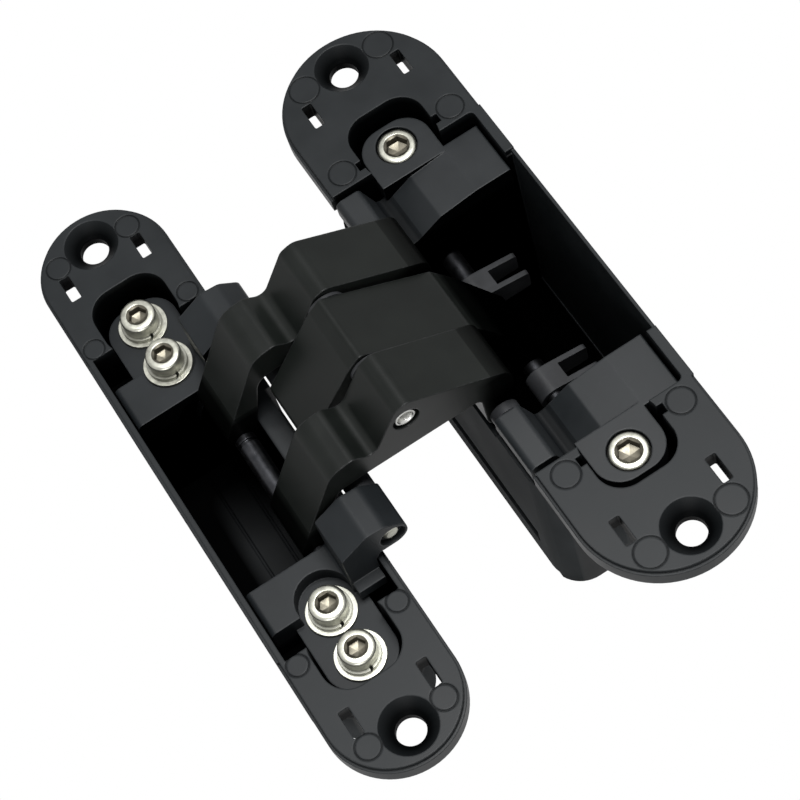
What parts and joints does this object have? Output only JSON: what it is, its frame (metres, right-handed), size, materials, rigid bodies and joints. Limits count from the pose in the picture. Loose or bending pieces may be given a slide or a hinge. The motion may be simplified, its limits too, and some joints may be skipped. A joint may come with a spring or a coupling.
{
  "type": "concealed door hinge",
  "caption": "Concealed mortise door hinge opened flat: two pocketed plates with rounded ends joined by crossed link arms, socket adjusting screws and pivot pins",
  "frame": {"origin": "centre of the wide door plate's outer face, midway between its two fixing screws", "axes": "+X from the frame half to the door half, +Y along the plates, +Z out of the plates' faces; the joints are at rest with the hinge opened to 180 degrees"},
  "size_m": [0.0816, 0.121, 0.0645],
  "materials": {
    "black_coat": "fine matt black powder coat on die-cast zinc",
    "bright_steel": "nickel-plated steel",
    "pin_steel": "ground steel",
    "dark_pin": "blackened steel",
    "dark_polymer": "low-friction dark polymer"
  },
  "bodies": {
    "door_side": {"door_housing": "black_coat"},
    "door_carriages": {"door_carriage_upper": "black_coat", "door_carriage_lower": "black_coat", "door_adjuster_upper": "bright_steel", "door_adjuster_lower": "bright_steel", "door_pivot_pin": "pin_steel"},
    "outer_arms": {"outer_arm_upper": "black_coat", "outer_arm_lower": "black_coat", "door_pivot_bush_upper": "dark_polymer", "door_pivot_bush_lower": "dark_polymer", "centre_pin": "pin_steel", "frame_slide_pin": "dark_pin"},
    "middle_arm": {"middle_arm": "black_coat", "centre_bush": "dark_polymer", "frame_pivot_bush": "dark_polymer", "centre_washer_upper": "dark_polymer", "centre_washer_lower": "dark_polymer", "door_slide_pin": "pin_steel"},
    "shoe_upper": {"door_shoe_upper": "dark_polymer"},
    "shoe_lower": {"door_shoe_lower": "dark_polymer"},
    "frame_carriages": {"frame_carriage_upper": "black_coat", "frame_carriage_lower": "black_coat", "frame_pivot_pin": "pin_steel", "frame_pivot_spacer_upper": "dark_polymer", "frame_pivot_spacer_lower": "dark_polymer"},
    "frame_side": {"frame_housing": "black_coat", "frame_clamp_screw_upper_inner": "bright_steel", "frame_clamp_screw_upper_outer": "bright_steel", "frame_clamp_screw_lower_inner": "bright_steel", "frame_clamp_screw_lower_outer": "bright_steel", "frame_spring_washer_upper_inner": "bright_steel", "frame_spring_washer_upper_outer": "bright_steel", "frame_spring_washer_lower_inner": "bright_steel", "frame_spring_washer_lower_outer": "bright_steel", "frame_clamp_washer_upper_inner": "bright_steel", "frame_clamp_washer_upper_outer": "bright_steel", "frame_clamp_washer_lower_inner": "bright_steel", "frame_clamp_washer_lower_outer": "bright_steel"}
  },
  "joints": [
    {"name": "fold", "type": "hinge", "parent": "door_carriages", "child": "outer_arms", "pos_m": [-0.0125, 0, -0.0033], "axis": [0, 1, 0], "range_deg": [0, 130.5]},
    {"name": "middle_fold", "type": "hinge", "parent": "outer_arms", "child": "middle_arm", "pos_m": [-0.0283, 0, 0.013], "axis": [0, 1, 0], "range_deg": [-73.3, 0]},
    {"name": "frame_fold", "type": "hinge", "parent": "middle_arm", "child": "frame_carriages", "pos_m": [-0.0394, 0, -0.0008], "axis": [0, 1, 0], "range_deg": [0, 122.8]},
    {"name": "shoe_turn_upper", "type": "hinge", "parent": "middle_arm", "child": "shoe_upper", "pos_m": [-0.0015, 0.0103, -0.019], "axis": [0, 1, 0], "range_deg": [-57.3, 0]},
    {"name": "shoe_turn_lower", "type": "hinge", "parent": "middle_arm", "child": "shoe_lower", "pos_m": [-0.0015, -0.0103, -0.019], "axis": [0, 1, 0], "range_deg": [-57.3, 0]},
    {"name": "lateral_adjust", "type": "slide", "parent": "door_side", "child": "door_carriages", "axis": [0, 0, 1], "range_m": [-0.0007, 0.0015]},
    {"name": "height_adjust", "type": "slide", "parent": "frame_carriages", "child": "frame_side", "axis": [0, 1, 0], "range_m": [-0.0015, 0.0015]}
  ],
  "couplings": [
    {"joint": "middle_fold", "follows": "fold", "ratio": -0.5613},
    {"joint": "frame_fold", "follows": "fold", "ratio": 0.9406},
    {"joint": "shoe_turn_upper", "follows": "fold", "ratio": -0.4387},
    {"joint": "shoe_turn_lower", "follows": "fold", "ratio": -0.4387}
  ]
}
